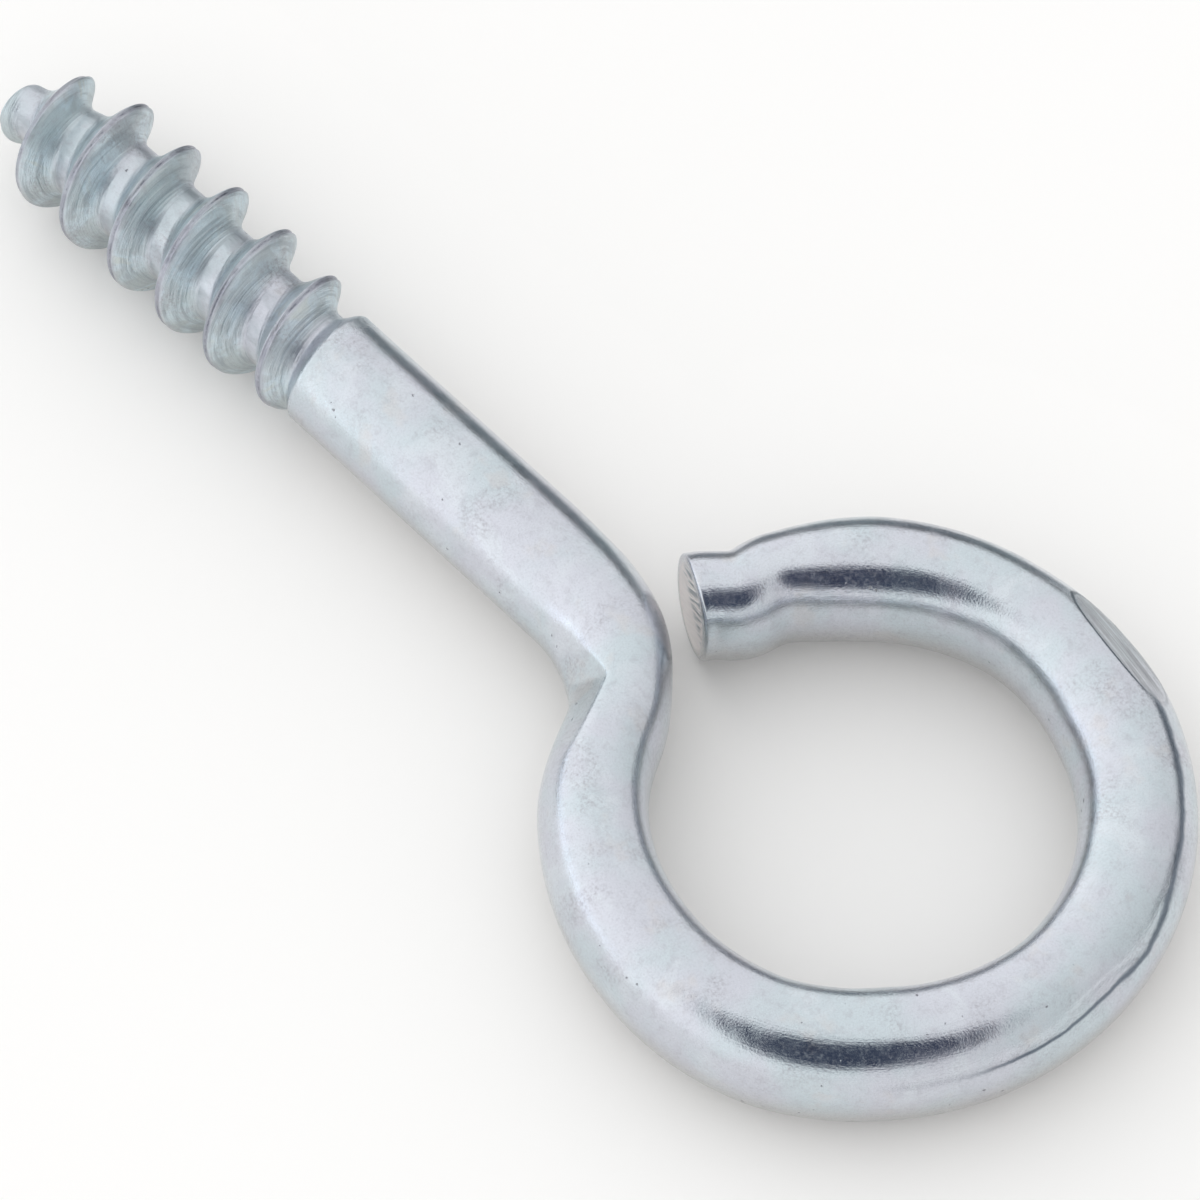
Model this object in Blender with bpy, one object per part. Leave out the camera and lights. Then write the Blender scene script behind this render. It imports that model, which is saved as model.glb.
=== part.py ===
"""Screw eye: one length of zinc-plated steel wire with a rolled wood thread, a plain shank,
an offset neck and an eye closed almost to the neck.

The part lies flat. +X runs along the shank from the tip to the eye, +Z is the axis of the eye,
and the origin is the centre of the bottom of its bounding box.
"""
import math

import bmesh
import bpy

MM = 0.001

# Driving dimensions
WIRE_RADIUS = 4.115 / 2 * MM
STRAIGHT_LENGTH = 26.4 * MM       # from the start of the thread's axis to the neck bend
NECK_RADIUS = 5.0 * MM
NECK_TURN = math.radians(-62)
NECK_STRAIGHT = 0.5 * MM
EYE_RADIUS = 8.7 * MM             # to the centre of the wire
EYE_TURN = math.radians(312)
TAIL_RADIUS = 2.4 * MM            # the wire's end is left a little straighter than the eye
TAIL_TURN = math.radians(-24)
TAIL_STRAIGHT = 1.0 * MM

# Rolled wood thread, right-handed
THREAD_PITCH = 2.31 * MM
THREAD_PHASE = 3.31 * MM          # a crest passes the +Y side of the shank here
THREAD_END = 14.6 * MM
ROOT_RADIUS = 1.53 * MM
ROOT_TAPER = (0.5 * MM, 3.6 * MM)     # grows here from the tip's radius
ROOT_RUNOUT = (13.5 * MM, 14.5 * MM)  # and here to the shank's
CREST_RADIUS = 2.55 * MM
CREST_START = (0.0, 2.8 * MM)
CREST_LAST_RADIUS = 2.36 * MM
CREST_DECLINE = (11.0 * MM, 13.2 * MM)
CREST_RUNOUT = (13.4 * MM, 14.6 * MM)
CREST_HALF = 0.07 * MM
FLANK_WIDTH = 0.74 * MM
FLANK_HOLLOW = 1.25               # above 1, the flanks curve into the root

# Blunt tip of the wire blank
TIP_X = -0.19 * MM
TIP_RADIUS = 1.0 * MM
TIP_CORNER = 0.28 * MM
TIP_OFFSET = -0.34 * MM           # the blank's end sits to one side of the shank's axis
TIP_OFFSET_END = 1.3 * MM
THREAD_DRIFT = -0.17 * MM         # and the thread leans the same way

# Sheared end of the wire
CUT_SWING = math.radians(15)      # the face turns towards the inside of the eye
CUT_TILT = math.radians(8)        # and leans back at its top
CUT_BLEND = 1.2 * MM
CUT_EDGE = 0.18 * MM

# Half-widths of the wire as the bending tools leave it: heading of the wire in degrees,
# half-width on its left, on its right, and half-height, in millimetres.
FORMED_NECK = (
    (0, 1.98, 2.07, 2.06),
    (-10, 1.87, 2.05, 2.08),
    (-28, 1.84, 1.95, 2.16),
    (-46, 1.69, 1.71, 2.28),
    (-62, 1.82, 1.44, 2.34),
)
FORMED_EYE = (
    (-62, 1.82, 1.44, 2.34),
    (-46, 1.78, 1.78, 2.30),
    (-10, 1.86, 1.80, 2.27),
    (25, 1.80, 2.00, 2.26),
    (50, 1.99, 1.82, 2.25),
    (88, 1.69, 1.83, 2.27),
    (125, 1.88, 1.94, 2.24),
    (160, 2.01, 1.93, 2.22),
    (190, 1.75, 1.77, 2.27),
    (225, 1.87, 1.95, 2.25),
    (250, 1.70, 1.64, 2.22),
)
FORMED_TAIL = (
    (226, 1.60, 1.55, 2.12),
    (250, 1.70, 1.64, 2.22),
)
EYE_SQUARENESS = 2.25             # exponent of the formed wire's section, 2 is an ellipse

# The centreline: straight runs and arcs, each with its name, its length and the angle it turns.
SEGMENTS = (
    ("shank", STRAIGHT_LENGTH, 0.0),
    ("neck", NECK_RADIUS * abs(NECK_TURN), NECK_TURN),
    ("neck", NECK_STRAIGHT, 0.0),
    ("eye", EYE_RADIUS * EYE_TURN, EYE_TURN),
    ("tail", TAIL_RADIUS * abs(TAIL_TURN), TAIL_TURN),
    ("tail", TAIL_STRAIGHT, 0.0),
)
WIRE_LENGTH = sum(length for _, length, _ in SEGMENTS)

# Mesh
SIDES = 20
NECK_STEP = 0.5 * MM
EYE_STEP = 1.1 * MM
SHANK_STEP = 3.0 * MM
MATERIAL_COLOUR = (0.62, 0.66, 0.69, 1.0)


def smooth(t):
    t = min(max(t, 0.0), 1.0)
    return t * t * (3 - 2 * t)


def ramp(x, start, end):
    return smooth((x - start) / (end - start))


def interpolate(rows, key):
    """Values of the row table at the key, straight between its rows."""
    rows = sorted(rows)
    key = min(max(key, rows[0][0]), rows[-1][0])
    for low, high in zip(rows, rows[1:]):
        if key <= high[0]:
            t = (key - low[0]) / (high[0] - low[0])
            return [a + t * (b - a) for a, b in zip(low[1:], high[1:])]
    return list(rows[-1][1:])


def centreline(s):
    """Point, heading and segment name at the distance s along the wire from the tip."""
    x, y, heading = 0.0, 0.0, 0.0
    for name, length, turn in SEGMENTS:
        run = min(s, length)
        end = heading + turn * run / length
        if turn:
            radius = length / turn
            x += radius * (math.sin(end) - math.sin(heading))
            y -= radius * (math.cos(end) - math.cos(heading))
        else:
            x += run * math.cos(heading)
            y += run * math.sin(heading)
        heading = end
        s -= run
        if s <= 1e-12:
            break
    return x, y, heading, name


def thread_radius(x, angle):
    """Radius of the threaded end at x, for the angle from +Y towards +Z."""
    turns = (x - THREAD_PHASE) / THREAD_PITCH - angle / math.tau
    off_crest = abs(turns - round(turns)) * THREAD_PITCH
    slope = 1 - (off_crest - CREST_HALF) / FLANK_WIDTH
    slope = min(max(slope, 0.0), 1.0)
    profile = ((slope + smooth(slope)) / 2) ** FLANK_HOLLOW
    root = TIP_RADIUS + (ROOT_RADIUS - TIP_RADIUS) * ramp(x, *ROOT_TAPER)
    root += (WIRE_RADIUS - ROOT_RADIUS) * ramp(x, *ROOT_RUNOUT)
    crest = CREST_RADIUS - (CREST_RADIUS - CREST_LAST_RADIUS) * ramp(x, *CREST_DECLINE)
    crest -= (CREST_LAST_RADIUS - WIRE_RADIUS) * ramp(x, *CREST_RUNOUT)
    growth = math.sqrt(ramp(x, *CREST_START))
    corner = max(0.0, 1 - (x - TIP_X) / TIP_CORNER)
    rounding = TIP_CORNER * (1 - math.sqrt(1 - corner * corner))
    return root + (crest - root) * profile * growth - rounding


def superellipse(angle, half_width, half_height, power):
    c, s = math.cos(angle), math.sin(angle)
    scale = (abs(c) ** power + abs(s) ** power) ** (-1 / power)
    return c * scale * half_width, s * scale * half_height


def section_point(s, angle):
    """Sideways and upwards offset of the wire's surface at distance s along it."""
    _, _, heading, name = centreline(s)
    degrees = math.degrees(heading)
    if name == "shank" and s < THREAD_END:
        radius = thread_radius(s, angle)
        lean = THREAD_DRIFT * (1 - ramp(s, TIP_X, THREAD_END))
        lean += TIP_OFFSET * (1 - ramp(s, TIP_X, TIP_OFFSET_END))
        return lean + radius * math.cos(angle), radius * math.sin(angle)
    if name == "shank":
        t = ramp(s, STRAIGHT_LENGTH - WIRE_RADIUS, STRAIGHT_LENGTH)
        formed = interpolate(FORMED_NECK, 0)
        left, right, height = (WIRE_RADIUS + t * (w * MM - WIRE_RADIUS) for w in formed)
        return superellipse(angle, left if math.cos(angle) > 0 else right, height, 2)
    table = {"neck": FORMED_NECK, "eye": FORMED_EYE, "tail": FORMED_TAIL}[name]
    left, right, height = (w * MM for w in interpolate(table, degrees))
    width = left if math.cos(angle) > 0 else right
    squareness = 2 + (EYE_SQUARENESS - 2) * ramp(s, STRAIGHT_LENGTH, STRAIGHT_LENGTH + 5 * MM)
    return superellipse(angle, width, height, squareness)


def surface_point(s, angle, inset=0.0):
    """Point of the wire's surface in space; inset draws it towards the centre for an edge."""
    x, y, heading, _ = centreline(s)
    side, up = section_point(s, angle)
    size = math.hypot(side, up)
    side *= 1 - inset / size
    up *= 1 - inset / size
    lean = side * math.tan(CUT_SWING) + up * math.tan(CUT_TILT)
    along = -lean * ramp(s, WIRE_LENGTH - CUT_BLEND - CUT_EDGE, WIRE_LENGTH - CUT_EDGE)
    c, sn = math.cos(heading), math.sin(heading)
    return x + along * c - side * sn, y + along * sn + side * c, up


def evenly(start, end, step):
    """Distances from start up to, but not including, end, about a step apart."""
    count = max(1, round((end - start) / step))
    return [start + (end - start) * k / count for k in range(count)]


def stations():
    """Distances along the wire of the section loops, closer where the shape is finer."""
    thread_step = THREAD_PITCH / SIDES
    first = math.ceil((TIP_X + TIP_CORNER - THREAD_PHASE) / thread_step)
    last = math.ceil((THREAD_END - THREAD_PHASE) / thread_step)
    loops = [TIP_X, TIP_X + TIP_CORNER * 0.3]
    loops += [THREAD_PHASE + thread_step * k for k in range(first, last + 1)]
    neck_end = STRAIGHT_LENGTH + NECK_RADIUS * abs(NECK_TURN) + NECK_STRAIGHT
    eye_end = neck_end + EYE_RADIUS * EYE_TURN
    loops += evenly(loops[-1] + SHANK_STEP / 2, STRAIGHT_LENGTH - WIRE_RADIUS, SHANK_STEP)
    loops += evenly(STRAIGHT_LENGTH - WIRE_RADIUS, neck_end + 3 * MM, NECK_STEP)
    loops += evenly(neck_end + 3 * MM, eye_end - 1 * MM, EYE_STEP)
    loops += evenly(eye_end - 1 * MM, WIRE_LENGTH - CUT_EDGE, NECK_STEP)
    return loops + [WIRE_LENGTH - CUT_EDGE]


def screw_eye_mesh():
    mesh = bpy.data.meshes.new("screw_eye")
    bm = bmesh.new()
    angles = [math.tau * k / SIDES for k in range(SIDES)]
    loops = [[bm.verts.new(surface_point(s, a)) for a in angles] for s in stations()]
    loops.append([bm.verts.new(surface_point(WIRE_LENGTH, a, CUT_EDGE)) for a in angles])
    for near, far in zip(loops, loops[1:]):
        for k in range(SIDES):
            after = (k + 1) % SIDES
            # The shared diagonal follows the thread's helix, which keeps its crest sharp.
            bm.faces.new((near[k], far[after], near[after]))
            bm.faces.new((near[k], far[k], far[after]))
    bm.faces.new(loops[0])
    bm.faces.new(reversed(loops[-1]))
    bmesh.ops.recalc_face_normals(bm, faces=bm.faces)
    low = [min(v.co[axis] for v in bm.verts) for axis in range(3)]
    high = [max(v.co[axis] for v in bm.verts) for axis in range(3)]
    bottom_centre = ((low[0] + high[0]) / 2, (low[1] + high[1]) / 2, low[2])
    bmesh.ops.translate(bm, vec=[-value for value in bottom_centre], verts=bm.verts)
    bm.to_mesh(mesh)
    bm.free()
    mesh.shade_smooth()
    mesh.set_sharp_from_angle(angle=math.radians(40))
    return mesh


def zinc_plated_steel():
    material = bpy.data.materials.new("zinc_plated_steel")
    material.use_nodes = True
    shader = material.node_tree.nodes["Principled BSDF"]
    shader.inputs["Base Color"].default_value = MATERIAL_COLOUR
    shader.inputs["Metallic"].default_value = 1.0
    shader.inputs["Roughness"].default_value = 0.32
    return material


def main():
    for old in list(bpy.data.objects):
        bpy.data.objects.remove(old)
    wire = bpy.data.objects.new("screw_eye", screw_eye_mesh())
    wire.data.materials.append(zinc_plated_steel())
    bpy.context.collection.objects.link(wire)


main()
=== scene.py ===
"""Looks of the screw eye: a fine mesh of the bent and threaded wire, its zinc plating, and the studio."""
import math

import bmesh
import bpy
import numpy as np
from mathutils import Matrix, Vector


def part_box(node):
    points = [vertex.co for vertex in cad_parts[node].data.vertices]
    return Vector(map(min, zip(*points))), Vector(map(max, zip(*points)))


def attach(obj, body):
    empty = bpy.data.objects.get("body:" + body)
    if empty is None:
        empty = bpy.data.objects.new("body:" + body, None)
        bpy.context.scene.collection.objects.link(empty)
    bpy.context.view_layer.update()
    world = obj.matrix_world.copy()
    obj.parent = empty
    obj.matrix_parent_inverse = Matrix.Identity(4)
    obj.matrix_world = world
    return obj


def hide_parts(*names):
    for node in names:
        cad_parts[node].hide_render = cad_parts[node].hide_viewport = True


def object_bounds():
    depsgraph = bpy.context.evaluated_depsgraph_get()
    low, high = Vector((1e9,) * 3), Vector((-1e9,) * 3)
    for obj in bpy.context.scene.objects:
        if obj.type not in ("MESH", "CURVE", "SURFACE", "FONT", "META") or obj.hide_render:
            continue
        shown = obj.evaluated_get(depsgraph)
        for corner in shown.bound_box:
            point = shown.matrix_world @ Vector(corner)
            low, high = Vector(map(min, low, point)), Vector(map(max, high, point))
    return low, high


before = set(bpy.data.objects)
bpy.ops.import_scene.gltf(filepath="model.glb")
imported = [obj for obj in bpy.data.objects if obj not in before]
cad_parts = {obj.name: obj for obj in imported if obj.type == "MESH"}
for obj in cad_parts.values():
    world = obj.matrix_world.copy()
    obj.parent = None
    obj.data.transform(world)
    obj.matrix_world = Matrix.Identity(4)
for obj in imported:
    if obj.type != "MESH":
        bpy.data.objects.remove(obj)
cad_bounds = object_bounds()

MM = 0.001
NODE = "screw_eye"

# Lengths of the wire are in millimetres, in its own frame: X along the shank from the tip, Y to
# the side of the cut end, Z along the axis of the eye, all from the wire's centreline. A pair of
# distances is the stretch of the wire over which something changes.
WIRE_RADIUS = 4.115 / 2
STRAIGHT_LENGTH = 26.4
NECK_RADIUS = 5.0
NECK_TURN = math.radians(-62)
NECK_STRAIGHT = 0.5
EYE_RADIUS = 8.7
EYE_TURN = math.radians(312)
TAIL_RADIUS = 2.4
TAIL_TURN = math.radians(-24)
TAIL_STRAIGHT = 1.08

THREAD_PITCH = 2.31
THREAD_PHASE = 3.31
THREAD_END = 15.2
THREAD_FADES = (THREAD_END - 1.0, THREAD_END + 0.3)
ROOT_RADIUS = 1.53
ROOT_TAPER = (0.5, 3.6)
ROOT_RUNOUT = (13.95, 14.65)
RUNOUT_SIDE = math.radians(150)     # the thread runs out latest on this side
RUNOUT_SHIFT = 0.28
CREST_RADIUS = 2.55
CREST_START = (0.0, 2.8)
CREST_LAST_RADIUS = 2.36
CREST_DECLINE = (11.0, 13.2)
CREST_RUNOUT = (13.4, 14.6)
CREST_HALF = 0.09
CREST_SEAM_DEPTH = 0.05
CREST_SEAM_HALF = 0.07
CREST_SEAM_UNEVEN = 0.2
FLANK_WIDTH = 0.84
FLANK_HOLLOW = 1.5

TIP_X = -0.19
TIP_RADIUS = 0.95
TIP_CORNER = 0.28
TIP_OFFSET = -0.34                  # the stub of the blank leans to the right
TIP_OFFSET_END = 1.3
THREAD_DRIFT = -0.17                # and so does the whole thread, towards its tip

# The pliers that closed the eye left its end swerved: distance along the wire, shift to its left.
SWERVE = ((76.4, 0.0), (77.7, -0.04), (78.95, -0.17), (79.1, -0.17), (80.3, -0.03),
          (81.35, -0.03), (81.8, 0.07))
SWERVE_BLUR = 0.12

CUT_SWING = math.radians(16)
CUT_TILT = math.radians(2)
CUT_BLEND = 1.2
CUT_EDGE = 0.12

# Heading in degrees, half-width left of the wire's way, right of it, and half-height.
FORMED_NECK = ((0, 1.98, 2.07, 2.06), (-10, 1.87, 2.05, 2.08), (-28, 1.84, 1.95, 2.16),
               (-46, 1.69, 1.71, 2.28), (-62, 1.82, 1.44, 2.34))
FORMED_EYE = ((-62, 1.82, 1.44, 2.34), (-46, 1.78, 1.78, 2.30), (-10, 1.86, 1.80, 2.27),
              (25, 1.80, 2.00, 2.26), (50, 1.99, 1.82, 2.25), (88, 1.69, 1.83, 2.27),
              (125, 1.88, 1.94, 2.24), (160, 2.01, 1.93, 2.22), (190, 1.75, 1.77, 2.27),
              (225, 1.87, 1.95, 2.25), (236, 1.79, 1.79, 2.24), (244, 1.65, 1.55, 2.23),
              (250, 1.72, 1.52, 2.22))
FORMED_TAIL = ((250, 1.72, 1.52, 2.22), (240, 1.74, 1.48, 2.18), (226, 1.62, 1.50, 2.12))
FORMED_BLUR = 0.35                  # the widths change softly over this length
ROUND = 2.0                         # squareness is the power of a superellipse
EYE_SQUARENESS = 2.15
INNER_SQUARENESS = (2.9, 2.25)      # before and after the far side of the eye
INNER_CHANGE = (60.0, 66.0)
SQUARENESS_ONSET = 5.0

SIDES = 80
PLAIN_STEP = 0.17
NECK_STEP = 0.09
NECK_FINE = (27.0, 34.0)
TIP_LOOPS = 8
EDGE_LOOPS = 6
CAP_RINGS = 6
FINE_STEPS = 6000

# The bending die pressed a shallow notch into the inside of the neck. Each face of the notch is
# a plane: a point on it, and the outward normal.
NOTCH_SHANK_FACE = ((30.07, -2.14, 2.24), (-0.28, -0.863, 0.42))
NOTCH_EYE_FACE = ((30.13, -2.11, 2.23), (-0.74, -0.32, 0.59))
NOTCH_ENTRY = (27.4, 29.0)
NOTCH_EXIT = (33.2, 34.6)
NOTCH_SOFTNESS = 0.035
NOTCH_VALLEY_SOFTNESS = 0.06

# Flats that the mandrel and rollers left on the outside of the eye: a point, the outward
# normal, and the stretch of the wire where the flat may be.
WORN_FLAT = ((38.02, 11.00, 1.66), (0.134, 0.739, 0.660), (63.0, 72.0))
LOWER_FLAT = ((48.91, 1.57, 1.17), (0.93, 0.03, 0.37), (51.0, 60.5))
FLAT_SOFTNESS = 0.02
FLAT_FULL = 0.8                     # share of its stretch where a flat has its full depth

# Painted shade: a dark line along the crease on the outside of the eye, which thickens the thin
# reflection of a dark wall card there. Distance along the wire, and angle round it in degrees.
CREASE_SHADE_PATH = ((50.0, 153), (57.6, 150), (58.0, 148), (59.2, 140), (60.4, 135), (65.5, 126))
CREASE_SHADE_ENTRY = (50.8, 53.0)
CREASE_SHADE_EXIT = (65.0, 66.2)
CREASE_SHADE_WIDENS = (54.0, 59.0)
CREASE_SHADE_WIDENING = 1.3
FAR_OFF = 9.0                       # stands for a distance that no mark on the wire reaches

# The shears left stripes on the cut face. A spot's distance to the side and its height, weighted
# so, give its place along the stripes and across them.
STRIPES_ALONG = (0.5, 0.87)
STRIPES_ACROSS = (0.72, -0.77)


def smooth(t):
    t = np.clip(t, 0.0, 1.0)
    return t * t * (3 - 2 * t)


def ramp(x, start, end):
    return smooth((x - start) / (end - start))


def columns(rows):
    """The columns of a table of rows, sorted by the first one."""
    return zip(*sorted(rows))


class Wire:
    """The wire's centreline and section, as functions of the distance s along it."""

    def __init__(self):
        neck = NECK_RADIUS * abs(NECK_TURN)
        eye = EYE_RADIUS * EYE_TURN
        tail = TAIL_RADIUS * abs(TAIL_TURN)
        self.neck_start = STRAIGHT_LENGTH
        self.eye_start = STRAIGHT_LENGTH + neck + NECK_STRAIGHT
        self.tail_start = self.eye_start + eye
        self.length = self.tail_start + tail + TAIL_STRAIGHT
        self.segments = ((STRAIGHT_LENGTH, 0.0), (neck, NECK_TURN), (NECK_STRAIGHT, 0.0),
                         (eye, EYE_TURN), (tail, TAIL_TURN), (TAIL_STRAIGHT, 0.0))
        self.fine = np.linspace(TIP_X, self.length, FINE_STEPS)
        self.step = self.fine[1] - self.fine[0]
        self.trace_centreline()
        self.trace_widths()
        distances, shifts = columns(SWERVE)
        self.swerve = self.blurred(np.interp(self.fine, distances, shifts), SWERVE_BLUR)

    def trace_centreline(self):
        ends = np.cumsum([0.0] + [length for length, _ in self.segments])
        curvature = np.zeros_like(self.fine)
        for start, (length, turn) in zip(ends, self.segments):
            curvature[(self.fine >= start) & (self.fine < start + length)] = turn / length
        self.heading = np.concatenate([[0.0], np.cumsum(curvature[:-1]) * self.step])
        middle = (self.heading[:-1] + self.heading[1:]) / 2
        self.x = TIP_X + np.concatenate([[0.0], np.cumsum(np.cos(middle)) * self.step])
        self.y = np.concatenate([[0.0], np.cumsum(np.sin(middle)) * self.step])

    def trace_widths(self):
        """Left and right half-widths and half-height at every fine step, blurred along the wire."""
        degrees = np.degrees(self.heading)
        onset = ramp(self.fine, self.neck_start - WIRE_RADIUS, self.neck_start)
        parts = ((self.fine < self.eye_start, FORMED_NECK), (self.fine >= self.eye_start, FORMED_EYE),
                 (self.fine >= self.tail_start, FORMED_TAIL))
        widths = np.full((3, FINE_STEPS), WIRE_RADIUS)
        for where, rows in parts:
            headings, *formed = columns(rows)
            for width, values in zip(widths, formed):
                width[where] = np.interp(degrees, headings, values)[where]
        widths = WIRE_RADIUS + onset * (widths - WIRE_RADIUS)
        self.widths = [self.blurred(width, FORMED_BLUR) for width in widths]

    def blurred(self, values, width):
        """The values at every fine step, smoothed along the wire."""
        reach = int(3 * width / self.step)
        kernel = np.exp(-0.5 * (np.arange(-reach, reach + 1) * self.step / width) ** 2)
        padded = np.pad(values, reach, mode="edge")
        return np.convolve(padded, kernel / kernel.sum(), mode="valid")

    def at(self, values, s):
        return np.interp(s, self.fine, values)


def thread_helix(x, angle):
    """Turns of the thread's helix at a place, and how far along the wire the nearest crest is."""
    turns = (x - THREAD_PHASE) / THREAD_PITCH - angle / math.tau
    return turns, np.abs(turns - np.round(turns)) * THREAD_PITCH


def thread_radius(x, angle):
    """Radius of the threaded end, with the fine seam that rolling leaves along the crest."""
    turns, off_crest = thread_helix(x, angle)
    slope = np.clip(1 - (off_crest - CREST_HALF) / FLANK_WIDTH, 0.0, 1.0)
    profile = ((slope + smooth(slope)) / 2) ** FLANK_HOLLOW
    root = TIP_RADIUS + (ROOT_RADIUS - TIP_RADIUS) * ramp(x, *ROOT_TAPER)
    late = RUNOUT_SHIFT * np.cos(angle - RUNOUT_SIDE)
    root = root + (WIRE_RADIUS - ROOT_RADIUS) * ramp(x - late, *ROOT_RUNOUT)
    crest = CREST_RADIUS - (CREST_RADIUS - CREST_LAST_RADIUS) * ramp(x, *CREST_DECLINE)
    crest = crest - (CREST_LAST_RADIUS - WIRE_RADIUS) * ramp(x, *CREST_RUNOUT)
    growth = np.sqrt(ramp(x, *CREST_START))
    uneven = np.sin(5 * turns + 4 * np.sin(2.3 * turns))
    seam = CREST_SEAM_DEPTH * np.exp(-(off_crest / CREST_SEAM_HALF) ** 2)
    seam = seam * (1 - CREST_SEAM_UNEVEN + CREST_SEAM_UNEVEN * uneven)
    corner = np.clip(1 - (x - TIP_X) / TIP_CORNER, 0.0, 1.0)
    rounding = TIP_CORNER * (1 - np.sqrt(1 - corner * corner))
    height = (crest - root) * profile * growth
    return root + height - seam * growth * (1 - ramp(x, *CREST_RUNOUT)) - rounding


def section(wire, s, angle):
    """Sideways and upwards offsets of the surface, for grids of distance and angle."""
    c, sn = np.cos(angle), np.sin(angle)
    left, right, height = (wire.at(values, s) for values in wire.widths)
    onset = ramp(s, wire.neck_start, wire.neck_start + SQUARENESS_ONSET)
    before, after = INNER_SQUARENESS
    inner = before + (after - before) * ramp(s, *INNER_CHANGE)
    power = ROUND + onset * (np.where((c > 0) & (sn > 0), inner, EYE_SQUARENESS) - ROUND)
    scale = (np.abs(c) ** power + np.abs(sn) ** power) ** (-1 / power)
    side = np.where(c > 0, left, right) * c * scale + wire.at(wire.swerve, s)
    up = height * sn * scale
    radius = thread_radius(s, angle)
    lean = THREAD_DRIFT * (1 - ramp(s, TIP_X, THREAD_END))
    lean = lean + TIP_OFFSET * (1 - ramp(s, TIP_X, TIP_OFFSET_END))
    threaded = s < THREAD_END
    side = np.where(threaded, lean + radius * c, side)
    up = np.where(threaded, radius * sn, up)
    return side, up


def stations(wire):
    """Distances of the section loops: on the thread a step is one side's share of the pitch."""
    step = THREAD_PITCH / SIDES
    first = math.ceil((TIP_X + TIP_CORNER - THREAD_PHASE) / step)
    last = math.ceil((THREAD_END - THREAD_PHASE) / step)
    corner = TIP_X + TIP_CORNER * (1 - np.cos(np.linspace(0.0, math.pi / 2, TIP_LOOPS)[:-1]))
    thread = THREAD_PHASE + step * np.arange(first, last + 1)
    end = wire.length - CUT_EDGE
    stretches = [corner, thread]
    for begin, stop, spacing in ((thread[-1], NECK_FINE[0], PLAIN_STEP),
                                 (*NECK_FINE, NECK_STEP), (NECK_FINE[1], end, PLAIN_STEP)):
        stretches.append(np.linspace(begin, stop, int((stop - begin) / spacing))[1:])
    return np.concatenate(stretches)


def soft_positive(value, softness):
    """max(value, 0) with its corner rounded."""
    return softness * np.logaddexp(0.0, value / softness)


def beyond(points, spot, normal):
    """How far points stand out past a plane, and the plane's unit normal."""
    unit = np.array(normal) / np.linalg.norm(normal)
    return (points - np.array(spot)) @ unit, unit


def press_notch(points, s):
    over_shank, shank_normal = beyond(points, *NOTCH_SHANK_FACE)
    over_eye, eye_normal = beyond(points, *NOTCH_EYE_FACE)
    push = shank_normal + eye_normal
    push = push / np.linalg.norm(push)
    depth = over_eye - soft_positive(over_eye - over_shank, NOTCH_VALLEY_SOFTNESS)
    depth = soft_positive(depth, NOTCH_SOFTNESS) / (shank_normal @ push)
    within = ramp(s, *NOTCH_ENTRY) * (1 - ramp(s, *NOTCH_EXIT))
    return points - push * (depth * within)[..., None]


def press_flat(points, s, spot, normal, stretch):
    depth, unit = beyond(points, spot, normal)
    middle, half = sum(stretch) / 2, (stretch[1] - stretch[0]) / 2
    within = 1 - ramp(np.abs(s - middle), FLAT_FULL * half, half)
    depth = soft_positive(depth, FLAT_SOFTNESS) * within
    return points - unit * depth[..., None]


def round_cut_edge(wire, s, angle, side, up):
    """Adds the last loops, which draw in round the edge as they reach the sheared face."""
    edge = np.sin(np.linspace(0.0, math.pi / 2, EDGE_LOOPS)[1:])
    size = np.hypot(side[-1:], up[-1:])
    draws = [1 - CUT_EDGE * (1 - math.sqrt(max(0.0, 1 - e * e))) / size for e in edge]
    side = np.concatenate([side] + [side[-1:] * draw for draw in draws])
    up = np.concatenate([up] + [up[-1:] * draw for draw in draws])
    s = np.concatenate([s] + [np.full((1, SIDES), wire.length - CUT_EDGE * (1 - e)) for e in edge])
    angle = np.concatenate([angle] + [angle[:1]] * len(edge))
    return s, angle, side, up


def surface(wire):
    """Grids, with one row for each section loop: points, distance, angle, and marks with the painted
    crease shade.
    """
    angles = np.arange(SIDES) * math.tau / SIDES
    s, angle = np.meshgrid(stations(wire), angles, indexing="ij")
    s, angle, side, up = round_cut_edge(wire, s, angle, *section(wire, s, angle))
    lean = side * math.tan(CUT_SWING) + up * math.tan(CUT_TILT)
    along = -lean * ramp(s, wire.length - CUT_BLEND - CUT_EDGE, wire.length - CUT_EDGE)
    heading = wire.at(wire.heading, s)
    c, sn = np.cos(heading), np.sin(heading)
    x = wire.at(wire.x, s) + along * c - side * sn
    y = wire.at(wire.y, s) + along * sn + side * c
    points = press_notch(np.stack([x, y, up], axis=-1), s)
    shade_and_marks = surface_shade_and_marks(points, s, angle)
    for flat in (WORN_FLAT, LOWER_FLAT):
        points = press_flat(points, s, *flat)
    return points, s, angle, shade_and_marks


def surface_shade_and_marks(points, s, angle):
    """For the plating: offset from the painted dark line of crease shade, that line's strength, depth
    under the worn flat.
    """
    distances, degrees = columns(CREASE_SHADE_PATH)
    path = np.radians(np.interp(s, distances, degrees))
    offset = (angle - path) * WIRE_RADIUS / (1 + CREASE_SHADE_WIDENING * ramp(s, *CREASE_SHADE_WIDENS))
    strength = ramp(s, *CREASE_SHADE_ENTRY) * (1 - ramp(s, *CREASE_SHADE_EXIT))
    spot, normal, stretch = WORN_FLAT
    depth, _ = beyond(points, spot, normal)
    depth = np.where((s > stretch[0]) & (s < stretch[1]), depth, -FAR_OFF)
    return np.stack([offset, strength, depth], axis=-1)


def surface_zones(s, angle):
    """For the plating: how much a place is thread and crest. The third value is for the cut face."""
    _, off_crest = thread_helix(s, angle)
    thread = 1 - ramp(s, *THREAD_FADES)
    crest = np.clip(1 - off_crest / (CREST_HALF + FLANK_WIDTH), 0, 1) * thread
    return np.stack([thread, crest, np.zeros_like(s)], axis=-1)


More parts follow.
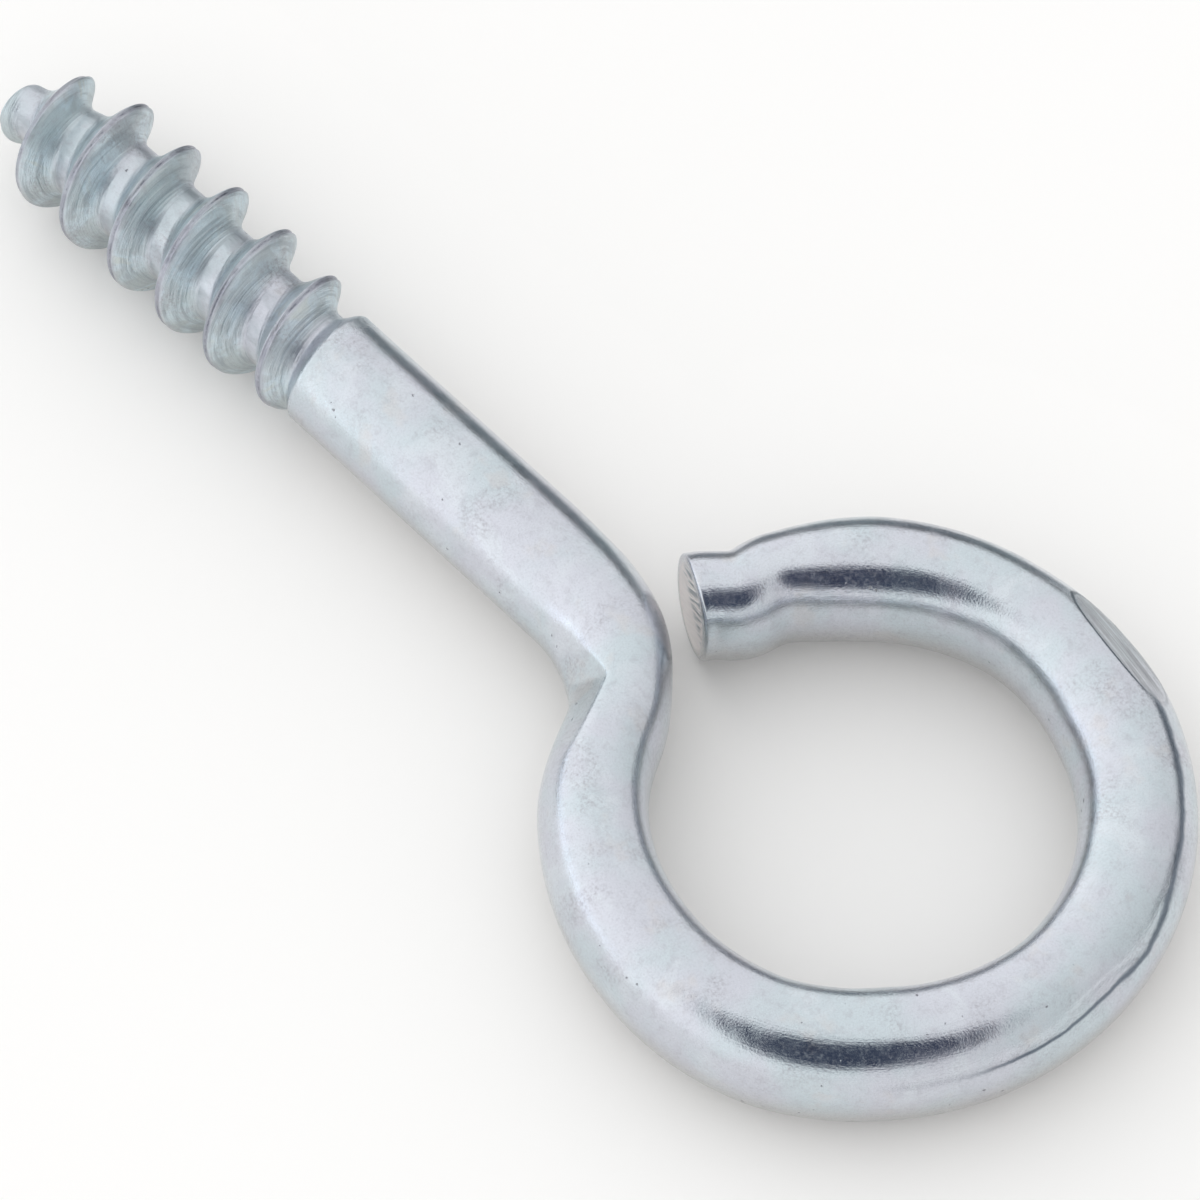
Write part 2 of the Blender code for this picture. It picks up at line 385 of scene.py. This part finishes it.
def fitted(points):
    """The points in metres, set over the middle of the CAD node's box and down on its floor."""
    low, high = (np.array(corner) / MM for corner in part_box(NODE))
    shape_low, shape_high = points.min(axis=(0, 1)), points.max(axis=(0, 1))
    shift = (low + high) / 2 - (shape_low + shape_high) / 2
    shift[2] = low[2] - shape_low[2]
    return (points + shift) * MM


def join_loops(bm, near, far):
    for k in range(SIDES):
        after = (k + 1) % SIDES
        bm.faces.new((near[k], far[after], near[after]))
        bm.faces.new((near[k], far[k], far[after]))


def close_end(bm, layers, loop, points, distance, cut):
    """Closes an end loop with rings drawn in towards its middle. Cut is 1 on the sheared face."""
    middle = points.mean(axis=0)
    side_way = (points[0] - middle) / np.linalg.norm(points[0] - middle)
    outer = loop
    for ring in range(1, CAP_RINGS):
        inner = []
        for point in middle + (points - middle) * (1 - ring / CAP_RINGS):
            vertex = bm.verts.new(point)
            spot = (np.array(vertex.co) - middle) / MM
            offsets = np.array((spot @ side_way, spot[2]))
            vertex[layers["place"]] = (distance, 0.0, 0.0)
            vertex[layers["zones"]] = (1.0 - cut, 0.0, cut)
            vertex[layers["shade_and_marks"]] = (FAR_OFF, 0.0, -FAR_OFF)
            vertex[layers["stripes"]] = (offsets @ STRIPES_ALONG, offsets @ STRIPES_ACROSS, 0.0)
            inner.append(vertex)
        for k in range(SIDES):
            after = (k + 1) % SIDES
            bm.faces.new((outer[k], outer[after], inner[after], inner[k]))
        outer = inner
    bm.faces.new(outer)


def build_wire_mesh():
    points, s, angle, shade_and_marks = surface(Wire())
    points = fitted(points)
    place = np.stack([s, np.cos(angle), np.sin(angle)], axis=-1)
    values = {"place": place, "zones": surface_zones(s, angle), "shade_and_marks": shade_and_marks}
    bm = bmesh.new()
    layers = {}
    for name in ("place", "zones", "stripes", "shade_and_marks"):
        layers[name] = bm.verts.layers.float_vector.new(name)
    loops = []
    for row, row_points in enumerate(points):
        loop = [bm.verts.new(point) for point in row_points]
        for name, grid in values.items():
            for vertex, value in zip(loop, grid[row]):
                vertex[layers[name]] = value
        loops.append(loop)
    for near, far in zip(loops, loops[1:]):
        join_loops(bm, near, far)
    close_end(bm, layers, loops[0], points[0], s[0, 0], 0.0)
    close_end(bm, layers, loops[-1], points[-1], s[-1, 0], 1.0)
    bmesh.ops.recalc_face_normals(bm, faces=bm.faces)
    mesh = mesh_from(bm, "screw_eye_wire")
    mesh.shade_smooth()
    return mesh


def mesh_from(bm, name):
    mesh = bpy.data.meshes.new(name)
    bm.to_mesh(mesh)
    bm.free()
    return mesh


class Nodes:
    """Short names for building a material's node tree."""

    def __init__(self, name):
        self.material = bpy.data.materials.new(name)
        self.material.use_nodes = True
        self.tree = self.material.node_tree
        self.shader = self.tree.nodes["Principled BSDF"]

    def plug(self, value, socket):
        if isinstance(value, bpy.types.NodeSocket):
            self.tree.links.new(value, socket)
        else:
            socket.default_value = value

    def attribute(self, name):
        node = self.tree.nodes.new("ShaderNodeAttribute")
        node.attribute_name = name
        return node.outputs["Vector"]

    def split(self, vector):
        node = self.tree.nodes.new("ShaderNodeSeparateXYZ")
        self.plug(vector, node.inputs[0])
        return node.outputs

    def object_place(self):
        return self.tree.nodes.new("ShaderNodeTexCoord").outputs["Object"]

    def stretch(self, vector, scale):
        node = self.tree.nodes.new("ShaderNodeVectorMath")
        node.operation = "MULTIPLY"
        self.plug(vector, node.inputs[0])
        node.inputs[1].default_value = scale
        return node.outputs[0]

    def together(self, first, second):
        """Sum of two vectors."""
        node = self.tree.nodes.new("ShaderNodeVectorMath")
        self.plug(first, node.inputs[0])
        self.plug(second, node.inputs[1])
        return node.outputs[0]

    def noise(self, vector, scale, detail=3.0, roughness=0.55, distortion=0.0):
        node = self.tree.nodes.new("ShaderNodeTexNoise")
        self.plug(vector, node.inputs["Vector"])
        node.inputs["Scale"].default_value = scale
        node.inputs["Detail"].default_value = detail
        node.inputs["Roughness"].default_value = roughness
        node.inputs["Distortion"].default_value = distortion
        return node.outputs[0]

    def cells(self, vector, scale):
        node = self.tree.nodes.new("ShaderNodeTexVoronoi")
        self.plug(vector, node.inputs["Vector"])
        node.inputs["Scale"].default_value = scale
        return node.outputs["Distance"]

    def fade(self, value, low, high, to_low=0.0, to_high=1.0):
        """Soft step of value from low to high, scaled to the range to_low to to_high."""
        node = self.tree.nodes.new("ShaderNodeMapRange")
        node.interpolation_type = "SMOOTHSTEP"
        self.plug(value, node.inputs["Value"])
        node.inputs["From Min"].default_value = low
        node.inputs["From Max"].default_value = high
        node.inputs["To Min"].default_value = to_low
        node.inputs["To Max"].default_value = to_high
        return node.outputs[0]

    def math(self, operation, first, second=0.0):
        node = self.tree.nodes.new("ShaderNodeMath")
        node.operation = operation
        self.plug(first, node.inputs[0])
        self.plug(second, node.inputs[1])
        return node.outputs[0]

    def times(self, first, second):
        return self.math("MULTIPLY", first, second)

    def plus(self, first, second):
        return self.math("ADD", first, second)

    def blend(self, amount, first, second):
        node = self.tree.nodes.new("ShaderNodeMix")
        node.data_type = "RGBA"
        self.plug(amount, node.inputs[0])
        self.plug(first, node.inputs[6])
        self.plug(second, node.inputs[7])
        return node.outputs[2]

    def bump(self, height, distance, below=None):
        node = self.tree.nodes.new("ShaderNodeBump")
        self.plug(height, node.inputs["Height"])
        node.inputs["Strength"].default_value = 1.0
        node.inputs["Distance"].default_value = distance
        if below is not None:
            self.plug(below, node.inputs["Normal"])
        return node.outputs[0]


def rgb(red, green, blue):
    return (red, green, blue, 1.0)


# Colours of the plating, and two colours of painted shade. In the functions below, the scale of a noise
# over an object's place is about the number of its blotches in a metre, and a bump's distance is in
# metres.
LAVENDER = rgb(0.60, 0.62, 0.68)
PALE_BLUE = rgb(0.57, 0.64, 0.68)
BLUE_WHITE = rgb(0.66, 0.705, 0.75)
WARM_GREY = rgb(0.61, 0.59, 0.59)
# painted shade, for the lower side of the wire
LOW_PAINTED_SHADE = rgb(0.53, 0.52, 0.50)
GREEN_GREY = rgb(0.52, 0.60, 0.61)
ICE_BLUE = rgb(0.68, 0.81, 0.86)
STRAW = rgb(0.66, 0.68, 0.58)
ROLLED_GREY = rgb(0.36, 0.41, 0.44)
WORN_GREY = rgb(0.36, 0.37, 0.43)
CREST_DIRT = rgb(0.08, 0.09, 0.12)
GRAIN_GREY = rgb(0.36, 0.38, 0.42)
MOTTLE_GREY = rgb(0.42, 0.42, 0.46)
SMUDGE_GREY = rgb(0.33, 0.32, 0.35)
PIT_DARK = rgb(0.16, 0.15, 0.17)
SCRATCH_GREY = rgb(0.40, 0.42, 0.46)
# painted shade, for the dark line along the crease on the outside of the eye
CREASE_SHADE_DARK = rgb(0.09, 0.12, 0.16)
BURNISHED = rgb(0.22, 0.235, 0.26)
RIM_DARK = rgb(0.12, 0.15, 0.18)
BARE_STEEL = rgb(1.0, 0.96, 0.95)
STRIPE_GREY = rgb(0.42, 0.46, 0.49)


def clouds_and_low_shade(nodes, here):
    """Broad clouds of lavender, pale blue and warm grey in the plating, and painted shade that darkens
    the wire towards its bottom.
    """
    cloud = nodes.noise(here, 330, 3.0)
    white = nodes.noise(here, 520, 4.0, distortion=0.6)
    warm = nodes.noise(here, 700, 3.0)
    height = nodes.split(here)[2]
    color = nodes.blend(nodes.fade(cloud, 0.38, 0.62), LAVENDER, PALE_BLUE)
    color = nodes.blend(nodes.fade(white, 0.50, 0.68, 0.0, 0.6), color, BLUE_WHITE)
    color = nodes.blend(nodes.fade(warm, 0.58, 0.72, 0.0, 0.45), color, WARM_GREY)
    # Painted shade: the lower side of the wire is blended towards a darker, duller grey.
    return nodes.blend(nodes.fade(height, 0.0032, 0.0016, 0.0, 0.75), color, LOW_PAINTED_SHADE)


def filmed(nodes, color, here, thread, crest):
    """The thread keeps a thicker, greenish film on its flanks."""
    film = nodes.noise(here, 750, 3.0, distortion=0.8)
    tint = nodes.blend(nodes.fade(film, 0.42, 0.60), GREEN_GREY, ICE_BLUE)
    tint = nodes.blend(nodes.fade(film, 0.60, 0.72, 0.0, 0.6), tint, STRAW)
    flank = nodes.times(nodes.fade(crest, 0.05, 0.35), nodes.fade(crest, 0.95, 0.75))
    return nodes.blend(nodes.times(flank, nodes.times(thread, 0.60)), color, tint)


def rolled_lines(nodes, along, zones):
    """Uneven lines that the rolling dies left on the flanks, and which run round with the thread."""
    spread = nodes.together(nodes.stretch(zones, (0.0, 9.0, 0.0)), nodes.stretch(along, (0.5, 1.6, 1.6)))
    return nodes.noise(spread, 1.0, 4.0, 0.6)


def dirty_crest(nodes, color, here, thread, crest):
    """Rolling roughened the crest of the thread, and dirt stays in its seam."""
    patches = nodes.fade(nodes.noise(here, 1900, 4.0), 0.38, 0.62, 0.45, 0.85)
    color = nodes.blend(nodes.times(nodes.fade(crest, 0.86, 0.93), patches), color, WORN_GREY)
    patches = nodes.fade(nodes.noise(here, 700, 6.0, 0.8), 0.46, 0.66)
    dirt = nodes.times(nodes.fade(crest, 0.95, 0.985), patches)
    return nodes.blend(nodes.times(dirt, nodes.times(thread, 0.85)), color, CREST_DIRT)


def speckled(nodes, color, here):
    """Fine grain, mottling, and darker grey smudges made of many small dots."""
    grain = nodes.noise(here, 14000, 3.0, 0.7)
    color = nodes.blend(nodes.fade(grain, 0.32, 0.52, 0.16, 0.0), color, GRAIN_GREY)
    mottle = nodes.noise(here, 2600, 5.0, 0.75)
    color = nodes.blend(nodes.fade(mottle, 0.50, 0.66, 0.0, 0.30), color, MOTTLE_GREY)
    area = nodes.fade(nodes.noise(here, 430, 4.0), 0.51, 0.65)
    dots = nodes.fade(nodes.noise(here, 8000, 5.0, 0.8), 0.44, 0.66)
    return nodes.blend(nodes.times(nodes.times(area, dots), 0.62), color, SMUDGE_GREY)


def pitting(nodes, here):
    """Small dark pits of uneven outline, in groups."""
    outline = nodes.fade(nodes.noise(here, 9000, 1.0), 0.3, 0.7, -0.06, 0.06)
    distance = nodes.plus(nodes.cells(here, 2100), outline)
    size = nodes.fade(nodes.noise(here, 560, 3.0), 0.50, 0.76, 0.0, 0.18)
    return nodes.fade(nodes.math("SUBTRACT", size, distance), 0.0, 0.06)


def shaded_and_marked_eye(nodes, color, here, along):
    """A painted dark line of shade along the crease on the outside of the eye, and the burnished and
    streaked flat beyond it.
    """
    offset, strength, depth = nodes.split(nodes.attribute("shade_and_marks"))
    wander = nodes.fade(nodes.noise(here, 1400, 4.0), 0.3, 0.7, -0.02, 0.02)
    offset = nodes.math("ABSOLUTE", nodes.plus(offset, wander))
    # Painted shade: the dark line along the crease on the outside of the eye.
    seam = nodes.times(nodes.fade(offset, 0.11, 0.015), strength)
    color = nodes.blend(nodes.times(seam, 0.85), color, CREASE_SHADE_DARK)
    streak = nodes.noise(nodes.stretch(along, (0.4, 30.0, 30.0)), 1.0, 3.0)
    far = nodes.fade(nodes.split(along)[0], 64.6, 66.4)
    dull = nodes.times(nodes.fade(depth, 0.01, 0.05), nodes.fade(streak, 0.62, 0.42, 0.20, 0.95))
    color = nodes.blend(nodes.times(dull, far), color, BURNISHED)
    rim = nodes.fade(nodes.math("ABSOLUTE", depth), 0.030, 0.008)
    return nodes.blend(nodes.times(rim, far), color, RIM_DARK)


def shear_stripes(nodes, cut):
    """Stripes on the sheared end, strongest on one side of it."""
    slide = nodes.attribute("stripes")
    stripe = nodes.noise(nodes.stretch(slide, (0.7, 5.5, 0.0)), 1.0, 1.0)
    stripe = nodes.times(nodes.fade(stripe, 0.38, 0.62), cut)
    return nodes.times(stripe, nodes.fade(nodes.split(slide)[0], -0.1, 0.6, 0.08, 1.0))


def zinc_plate():
    """Bright zinc plating with its grain, pits and stains, over drawn and rolled steel, with shade
    painted low on the wire and along a crease of the eye.
    """
    nodes = Nodes("zinc_plate")
    here = nodes.object_place()
    along = nodes.attribute("place")
    zones = nodes.attribute("zones")
    thread, crest, cut = nodes.split(zones)
    rolled = rolled_lines(nodes, along, zones)
    pit = pitting(nodes, here)
    drawn = nodes.noise(nodes.stretch(along, (0.35, 26.0, 26.0)), 1.0, 4.0, 0.6)
    stripe = shear_stripes(nodes, cut)

    color = clouds_and_low_shade(nodes, here)
    color = filmed(nodes, color, here, thread, crest)
    shade = nodes.times(nodes.fade(rolled, 0.48, 0.66, 0.0, 0.6), thread)
    color = nodes.blend(shade, color, ROLLED_GREY)
    color = dirty_crest(nodes, color, here, thread, crest)
    color = speckled(nodes, color, here)
    color = nodes.blend(nodes.times(pit, 0.6), color, PIT_DARK)
    color = nodes.blend(nodes.times(nodes.fade(drawn, 0.66, 0.74), 0.25), color, SCRATCH_GREY)
    # painted shade along the crease of the eye, and the marks of the worn flat
    color = shaded_and_marked_eye(nodes, color, here, along)
    color = nodes.blend(cut, color, nodes.blend(stripe, BARE_STEEL, STRIPE_GREY))
    nodes.plug(color, nodes.shader.inputs["Base Color"])

    rough = nodes.fade(nodes.noise(here, 1500, 4.0), 0.35, 0.65, 0.13, 0.24)
    for place, extra in ((thread, 0.22), (cut, 0.25), (pit, 0.30)):
        rough = nodes.plus(rough, nodes.times(place, extra))
    nodes.plug(rough, nodes.shader.inputs["Roughness"])

    chalk = nodes.fade(nodes.noise(here, 7500, 4.0, 0.75), 0.47, 0.66, 0.98, 0.80)
    nodes.plug(chalk, nodes.shader.inputs["Metallic"])

    normal = nodes.bump(nodes.noise(here, 420, 2.0), 0.00003)
    normal = nodes.bump(nodes.noise(here, 13000, 3.0, 0.65), 0.0000075, normal)
    normal = nodes.bump(pit, -0.00001, normal)
    normal = nodes.bump(drawn, 0.000004, normal)
    normal = nodes.bump(nodes.times(rolled, thread), 0.00006, normal)
    normal = nodes.bump(stripe, 0.00005, normal)
    nodes.plug(normal, nodes.shader.inputs["Normal"])
    return nodes.material


# The studio. Its angles are in degrees, and its lengths in metres but for the camera's sensor.
CAMERA_AZIMUTH = -43.68
CAMERA_ELEVATION = 60.1
CAMERA_DISTANCE = 0.28513
AIM_AHEAD = 0.0026
AIM_ASIDE = -0.00062
SENSOR_WIDTH = 36                   # millimetres
FOCAL_RATIO = 22 / 3                # focal length over the sensor's width
CLIP_START = 0.001

DOME_DIM = 0.79
DOME_BRIGHT = 1.29
DOME_BRIGHT_SIDE = CAMERA_AZIMUTH - 105
FLOOR_REACH = 1.5                   # from its middle to its edges
FLOOR_COLOR = (0.965, 0.96, 0.95)
FLOOR_ROUGHNESS = 0.9

EYE_MIDDLE = Vector((0.0142, 0.0, 0.0026))
EYE_OUTER_RADIUS = 0.0106
DISC_AZIMUTH = CAMERA_AZIMUTH - 4
DISC_ELEVATION = 51
DISC_DISTANCE = 0.150
DISC_SPREAD = 29.5                  # angular radius, seen from the middle of the eye
DISC_SIDES = 96
DISC_COLOR = (0.030, 0.042, 0.085)

# Cards that stand round the object: name, azimuths, heights and colour.
WALL_DISTANCE = 0.200
WALL_STEPS = 48
WALLS = (("far_wall", (95, 150), (0.0, 0.034), (0.02, 0.03, 0.04)),
         ("left_wall", (150, 205), (0.0, 0.022), (0.03, 0.04, 0.06)),
         ("right_wall", (40, 95), (0.0, 0.024), (0.03, 0.045, 0.065)),
         ("left_glow", (186, 240), (0.024, 0.040), (1.7, 1.85, 2.0)))

# Cards that lie just above the floor: a wide one on the far side, a narrow arc on the near side.
LYING_HEIGHT = 0.00002
FAR_GAP = 0.0085
FAR_AZIMUTHS = (150, 95)
FAR_STEPS = 12
FAR_SHANK_ENDS = (-0.040, -0.001)   # X of the stretch beside the shank
FAR_WAY = 118                       # azimuth in which the far card widens
FAR_DEPTH = 0.2
FAR_COLOR = (0.20, 0.23, 0.25)
NEAR_RADII = (0.0087 + 0.0108, 0.0087 + 0.0130)
NEAR_AZIMUTHS = (-38, 50)
NEAR_STEPS = 30
NEAR_COLOR = (0.05, 0.07, 0.10)


def add_object(name, mesh, material):
    piece = bpy.data.objects.new(name, mesh)
    mesh.materials.append(material)
    bpy.context.collection.objects.link(piece)
    return piece


def matt_material(name, color, roughness):
    material = bpy.data.materials.new(name)
    material.use_nodes = True
    shader = material.node_tree.nodes["Principled BSDF"]
    shader.inputs["Base Color"].default_value = rgb(*color)
    shader.inputs["Roughness"].default_value = roughness
    return material


def card_material(name, color):
    material = bpy.data.materials.new(name)
    material.use_nodes = True
    tree = material.node_tree
    tree.nodes.clear()
    output = tree.nodes.new("ShaderNodeOutputMaterial")
    emission = tree.nodes.new("ShaderNodeEmission")
    emission.inputs["Color"].default_value = rgb(*color)
    tree.links.new(emission.outputs[0], output.inputs["Surface"])
    return material


def add_card(name, bm, color):
    """A light or dark card, which only shows in reflections."""
    card = add_object(name, mesh_from(bm, name), card_material(name, color))
    card.visible_camera = False
    card.visible_diffuse = False
    card.visible_shadow = False
    card.visible_transmission = False
    return card


def direction(azimuth, elevation=0.0):
    a, e = math.radians(azimuth), math.radians(elevation)
    return Vector((math.cos(e) * math.cos(a), math.cos(e) * math.sin(a), math.sin(e)))


def look_back(thing, centre, way, distance):
    """Places a thing away from centre, facing it."""
    thing.location = centre + way * distance
    thing.rotation_euler = way.to_track_quat("Z", "Y").to_euler()


def arc(centre, radius, azimuths, steps):
    """Spots on a level arc round centre."""
    first, last = azimuths
    return [centre + direction(first + (last - first) * k / steps) * radius for k in range(steps + 1)]


def at_height(spots, height):
    return [(spot.x, spot.y, height) for spot in spots]


def strip_card(name, near, far, color):
    """A card between two rows of as many spots."""
    bm = bmesh.new()
    near, far = ([bm.verts.new(spot) for spot in row] for row in (near, far))
    for k in range(len(near) - 1):
        bm.faces.new((near[k], near[k + 1], far[k + 1], far[k]))
    add_card(name, bm, color)


def disc_card():
    """A round card over the eye, which the top of the wire reflects as dark bands."""
    bm = bmesh.new()
    radius = DISC_DISTANCE * math.tan(math.radians(DISC_SPREAD))
    bmesh.ops.create_circle(bm, cap_ends=True, segments=DISC_SIDES, radius=radius)
    card = add_card("dark_disc", bm, DISC_COLOR)
    look_back(card, EYE_MIDDLE, direction(DISC_AZIMUTH, DISC_ELEVATION), DISC_DISTANCE)


def wall_cards(middle):
    for name, azimuths, heights, color in WALLS:
        spots = arc(middle, WALL_DISTANCE, azimuths, WALL_STEPS)
        strip_card(name, *(at_height(spots, height) for height in heights), color)


def far_floor_card():
    """Darkens what the far edges of the shank and of the eye reflect from below the horizon."""
    near = [Vector((x, FAR_GAP, 0)) for x in FAR_SHANK_ENDS]
    near += arc(EYE_MIDDLE, EYE_OUTER_RADIUS + FAR_GAP, FAR_AZIMUTHS, FAR_STEPS)
    far = [spot + direction(FAR_WAY) * FAR_DEPTH for spot in near]
    strip_card("far_floor", at_height(near, LYING_HEIGHT), at_height(far, LYING_HEIGHT), FAR_COLOR)


def near_line_card():
    """A narrow dark arc on the floor at the near side, which the outer flank of the eye reflects."""
    near, far = (arc(EYE_MIDDLE, radius, NEAR_AZIMUTHS, NEAR_STEPS) for radius in NEAR_RADII)
    strip_card("near_line", at_height(near, LYING_HEIGHT), at_height(far, LYING_HEIGHT), NEAR_COLOR)


def add_floor():
    bm = bmesh.new()
    bmesh.ops.create_grid(bm, x_segments=1, y_segments=1, size=FLOOR_REACH)
    material = matt_material("floor", FLOOR_COLOR, FLOOR_ROUGHNESS)
    add_object("floor", mesh_from(bm, "floor"), material)


def add_dome():
    """A soft white dome, brighter on the left of the picture than on its right."""
    world = bpy.data.worlds.new("studio")
    world.use_nodes = True
    tree = world.node_tree
    way = tree.nodes.new("ShaderNodeTexCoord")
    side = tree.nodes.new("ShaderNodeVectorMath")
    side.operation = "DOT_PRODUCT"
    side.inputs[1].default_value = direction(DOME_BRIGHT_SIDE)
    tree.links.new(way.outputs["Generated"], side.inputs[0])
    strength = tree.nodes.new("ShaderNodeMapRange")
    strength.inputs["From Min"].default_value = -1.0
    strength.inputs["To Min"].default_value = DOME_DIM
    strength.inputs["To Max"].default_value = DOME_BRIGHT
    tree.links.new(side.outputs["Value"], strength.inputs["Value"])
    background = tree.nodes["Background"]
    background.inputs["Color"].default_value = rgb(1, 1, 1)
    tree.links.new(strength.outputs[0], background.inputs["Strength"])
    bpy.context.scene.world = world


def add_camera(middle):
    data = bpy.data.cameras.new("camera")
    data.sensor_width = SENSOR_WIDTH
    data.lens = SENSOR_WIDTH * FOCAL_RATIO
    data.clip_start = CLIP_START
    camera = bpy.data.objects.new("camera", data)
    aim = middle + Vector((AIM_AHEAD, AIM_ASIDE, 0))
    look_back(camera, aim, direction(CAMERA_AZIMUTH, CAMERA_ELEVATION), CAMERA_DISTANCE)
    bpy.context.collection.objects.link(camera)
    bpy.context.scene.camera = camera


def add_studio(middle):
    add_floor()
    disc_card()
    wall_cards(middle)
    far_floor_card()
    near_line_card()
    add_dome()
    add_camera(middle)
    bpy.context.scene.view_settings.view_transform = "Standard"


def main():
    piece = add_object("bent_wire", build_wire_mesh(), zinc_plate())
    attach(piece, "root")
    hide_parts(NODE)
    low, high = cad_bounds
    add_studio((Vector(low) + Vector(high)) / 2)


main()
